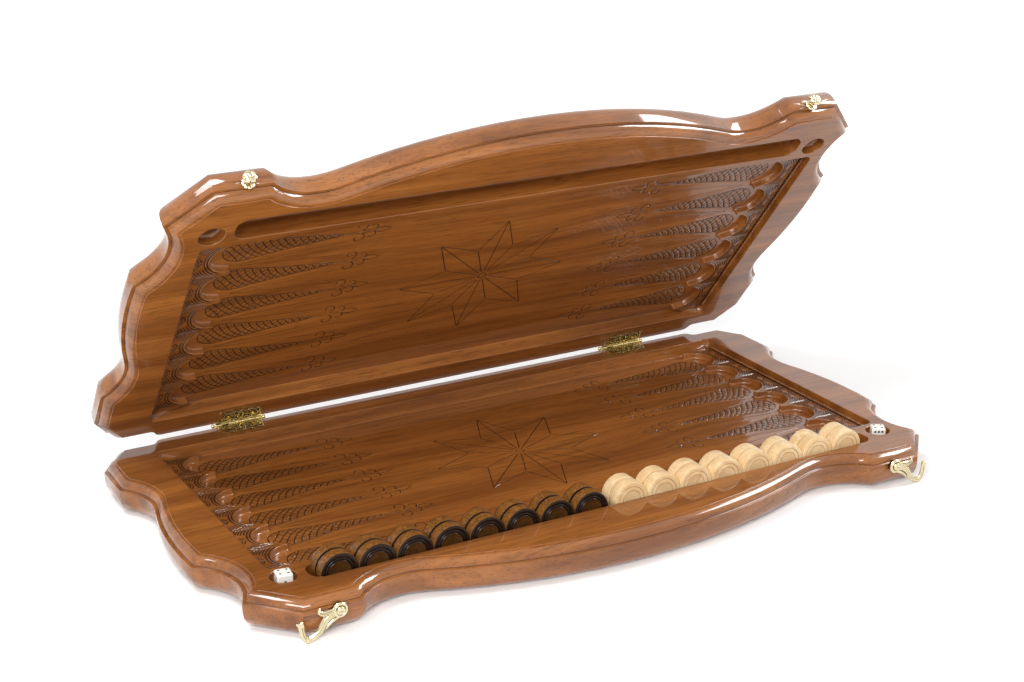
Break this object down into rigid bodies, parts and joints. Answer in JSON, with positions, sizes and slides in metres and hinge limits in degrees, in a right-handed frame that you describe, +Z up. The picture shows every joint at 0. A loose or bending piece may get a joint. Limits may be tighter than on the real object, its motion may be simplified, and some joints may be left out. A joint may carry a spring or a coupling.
{
  "type": "folding backgammon board",
  "caption": "Carved wooden folding backgammon board with scalloped edges, brass hinges, corner hooks and knobs, checkers in a rack and dice in corner holes.",
  "frame": {"origin": "on the floor under the middle of the base board", "axes": "+X along the hinges, +Y from the front towards the hinges, +Z up"},
  "size_m": [0.6, 0.3477, 0.2942],
  "materials": {
    "walnut": "glossy lacquer",
    "antique_brass": "antique cast relief",
    "polished_brass": "polished",
    "ivory_plastic": "glossy",
    "dark_burl": "glossy lacquer",
    "pale_wood": "satin"
  },
  "bodies": {
    "base": {"base_board": "walnut", "base_hinge_leaf_left": "antique_brass", "base_hinge_leaf_right": "antique_brass", "hinge_pin_left": "antique_brass", "hinge_pin_right": "antique_brass", "base_hinge_screws": "antique_brass", "hook_screw_left": "polished_brass", "hook_screw_right": "polished_brass", "hook_washer_left": "polished_brass", "hook_washer_right": "polished_brass"},
    "lid": {"lid_board": "walnut", "lid_hinge_leaf_left": "antique_brass", "lid_hinge_leaf_right": "antique_brass", "lid_hinge_screws": "antique_brass", "catch_knob_left": "polished_brass", "catch_knob_right": "polished_brass"},
    "hook_left": {"hook_left": "polished_brass"},
    "hook_right": {"hook_right": "polished_brass"},
    "die_left": {"die_left": "ivory_plastic"},
    "die_right": {"die_right": "ivory_plastic"},
    "dark_checker_1": {"dark_checker_1": "dark_burl"},
    "dark_checker_2": {"dark_checker_2": "dark_burl"},
    "dark_checker_3": {"dark_checker_3": "dark_burl"},
    "dark_checker_4": {"dark_checker_4": "dark_burl"},
    "dark_checker_5": {"dark_checker_5": "dark_burl"},
    "dark_checker_6": {"dark_checker_6": "dark_burl"},
    "dark_checker_7": {"dark_checker_7": "dark_burl"},
    "dark_checker_8": {"dark_checker_8": "dark_burl"},
    "dark_checker_9": {"dark_checker_9": "dark_burl"},
    "dark_checker_10": {"dark_checker_10": "dark_burl"},
    "dark_checker_11": {"dark_checker_11": "dark_burl"},
    "dark_checker_12": {"dark_checker_12": "dark_burl"},
    "dark_checker_13": {"dark_checker_13": "dark_burl"},
    "dark_checker_14": {"dark_checker_14": "dark_burl"},
    "dark_checker_15": {"dark_checker_15": "dark_burl"},
    "dark_checker_16": {"dark_checker_16": "dark_burl"},
    "light_checker_1": {"light_checker_1": "pale_wood"},
    "light_checker_2": {"light_checker_2": "pale_wood"},
    "light_checker_3": {"light_checker_3": "pale_wood"},
    "light_checker_4": {"light_checker_4": "pale_wood"},
    "light_checker_5": {"light_checker_5": "pale_wood"},
    "light_checker_6": {"light_checker_6": "pale_wood"},
    "light_checker_7": {"light_checker_7": "pale_wood"},
    "light_checker_8": {"light_checker_8": "pale_wood"},
    "light_checker_9": {"light_checker_9": "pale_wood"},
    "light_checker_10": {"light_checker_10": "pale_wood"},
    "light_checker_11": {"light_checker_11": "pale_wood"},
    "light_checker_12": {"light_checker_12": "pale_wood"},
    "light_checker_13": {"light_checker_13": "pale_wood"},
    "light_checker_14": {"light_checker_14": "pale_wood"},
    "light_checker_15": {"light_checker_15": "pale_wood"},
    "light_checker_16": {"light_checker_16": "pale_wood"}
  },
  "joints": [
    {"name": "lid_hinge", "type": "hinge", "parent": "base", "child": "lid", "pos_m": [0, 0.1655, 0.0275], "axis": [-1, 0, 0], "range_deg": [-50.8, 129.2]},
    {"name": "hook_left_pivot", "type": "hinge", "parent": "base", "child": "hook_left", "pos_m": [-0.2315, -0.1483, 0.018], "axis": [0, 1, 0], "range_deg": [0, 114]},
    {"name": "hook_right_pivot", "type": "hinge", "parent": "base", "child": "hook_right", "pos_m": [0.2315, -0.1483, 0.018], "axis": [0, -1, 0], "range_deg": [0, 114]},
    {"name": "die_left_lift", "type": "slide", "parent": "base", "child": "die_left", "axis": [0, 0, 1], "range_m": [0, 0.03]},
    {"name": "die_right_lift", "type": "slide", "parent": "base", "child": "die_right", "axis": [0, 0, 1], "range_m": [0, 0.03]},
    {"name": "dark_checker_1_lift", "type": "slide", "parent": "base", "child": "dark_checker_1", "axis": [0, 0, 1], "range_m": [0, 0.03]},
    {"name": "dark_checker_2_lift", "type": "slide", "parent": "base", "child": "dark_checker_2", "axis": [0, 0, 1], "range_m": [0, 0.03]},
    {"name": "dark_checker_3_lift", "type": "slide", "parent": "base", "child": "dark_checker_3", "axis": [0, 0, 1], "range_m": [0, 0.03]},
    {"name": "dark_checker_4_lift", "type": "slide", "parent": "base", "child": "dark_checker_4", "axis": [0, 0, 1], "range_m": [0, 0.03]},
    {"name": "dark_checker_5_lift", "type": "slide", "parent": "base", "child": "dark_checker_5", "axis": [0, 0, 1], "range_m": [0, 0.03]},
    {"name": "dark_checker_6_lift", "type": "slide", "parent": "base", "child": "dark_checker_6", "axis": [0, 0, 1], "range_m": [0, 0.03]},
    {"name": "dark_checker_7_lift", "type": "slide", "parent": "base", "child": "dark_checker_7", "axis": [0, 0, 1], "range_m": [0, 0.03]},
    {"name": "dark_checker_8_lift", "type": "slide", "parent": "base", "child": "dark_checker_8", "axis": [0, 0, 1], "range_m": [0, 0.03]},
    {"name": "dark_checker_9_lift", "type": "slide", "parent": "base", "child": "dark_checker_9", "axis": [0, 0, 1], "range_m": [0, 0.03]},
    {"name": "dark_checker_10_lift", "type": "slide", "parent": "base", "child": "dark_checker_10", "axis": [0, 0, 1], "range_m": [0, 0.03]},
    {"name": "dark_checker_11_lift", "type": "slide", "parent": "base", "child": "dark_checker_11", "axis": [0, 0, 1], "range_m": [0, 0.03]},
    {"name": "dark_checker_12_lift", "type": "slide", "parent": "base", "child": "dark_checker_12", "axis": [0, 0, 1], "range_m": [0, 0.03]},
    {"name": "dark_checker_13_lift", "type": "slide", "parent": "base", "child": "dark_checker_13", "axis": [0, 0, 1], "range_m": [0, 0.03]},
    {"name": "dark_checker_14_lift", "type": "slide", "parent": "base", "child": "dark_checker_14", "axis": [0, 0, 1], "range_m": [0, 0.03]},
    {"name": "dark_checker_15_lift", "type": "slide", "parent": "base", "child": "dark_checker_15", "axis": [0, 0, 1], "range_m": [0, 0.03]},
    {"name": "dark_checker_16_lift", "type": "slide", "parent": "base", "child": "dark_checker_16", "axis": [0, 0, 1], "range_m": [0, 0.03]},
    {"name": "light_checker_1_lift", "type": "slide", "parent": "base", "child": "light_checker_1", "axis": [0, 0, 1], "range_m": [0, 0.03]},
    {"name": "light_checker_2_lift", "type": "slide", "parent": "base", "child": "light_checker_2", "axis": [0, 0, 1], "range_m": [0, 0.03]},
    {"name": "light_checker_3_lift", "type": "slide", "parent": "base", "child": "light_checker_3", "axis": [0, 0, 1], "range_m": [0, 0.03]},
    {"name": "light_checker_4_lift", "type": "slide", "parent": "base", "child": "light_checker_4", "axis": [0, 0, 1], "range_m": [0, 0.03]},
    {"name": "light_checker_5_lift", "type": "slide", "parent": "base", "child": "light_checker_5", "axis": [0, 0, 1], "range_m": [0, 0.03]},
    {"name": "light_checker_6_lift", "type": "slide", "parent": "base", "child": "light_checker_6", "axis": [0, 0, 1], "range_m": [0, 0.03]},
    {"name": "light_checker_7_lift", "type": "slide", "parent": "base", "child": "light_checker_7", "axis": [0, 0, 1], "range_m": [0, 0.03]},
    {"name": "light_checker_8_lift", "type": "slide", "parent": "base", "child": "light_checker_8", "axis": [0, 0, 1], "range_m": [0, 0.03]},
    {"name": "light_checker_9_lift", "type": "slide", "parent": "base", "child": "light_checker_9", "axis": [0, 0, 1], "range_m": [0, 0.03]},
    {"name": "light_checker_10_lift", "type": "slide", "parent": "base", "child": "light_checker_10", "axis": [0, 0, 1], "range_m": [0, 0.03]},
    {"name": "light_checker_11_lift", "type": "slide", "parent": "base", "child": "light_checker_11", "axis": [0, 0, 1], "range_m": [0, 0.03]},
    {"name": "light_checker_12_lift", "type": "slide", "parent": "base", "child": "light_checker_12", "axis": [0, 0, 1], "range_m": [0, 0.03]},
    {"name": "light_checker_13_lift", "type": "slide", "parent": "base", "child": "light_checker_13", "axis": [0, 0, 1], "range_m": [0, 0.03]},
    {"name": "light_checker_14_lift", "type": "slide", "parent": "base", "child": "light_checker_14", "axis": [0, 0, 1], "range_m": [0, 0.03]},
    {"name": "light_checker_15_lift", "type": "slide", "parent": "base", "child": "light_checker_15", "axis": [0, 0, 1], "range_m": [0, 0.03]},
    {"name": "light_checker_16_lift", "type": "slide", "parent": "base", "child": "light_checker_16", "axis": [0, 0, 1], "range_m": [0, 0.03]}
  ]
}
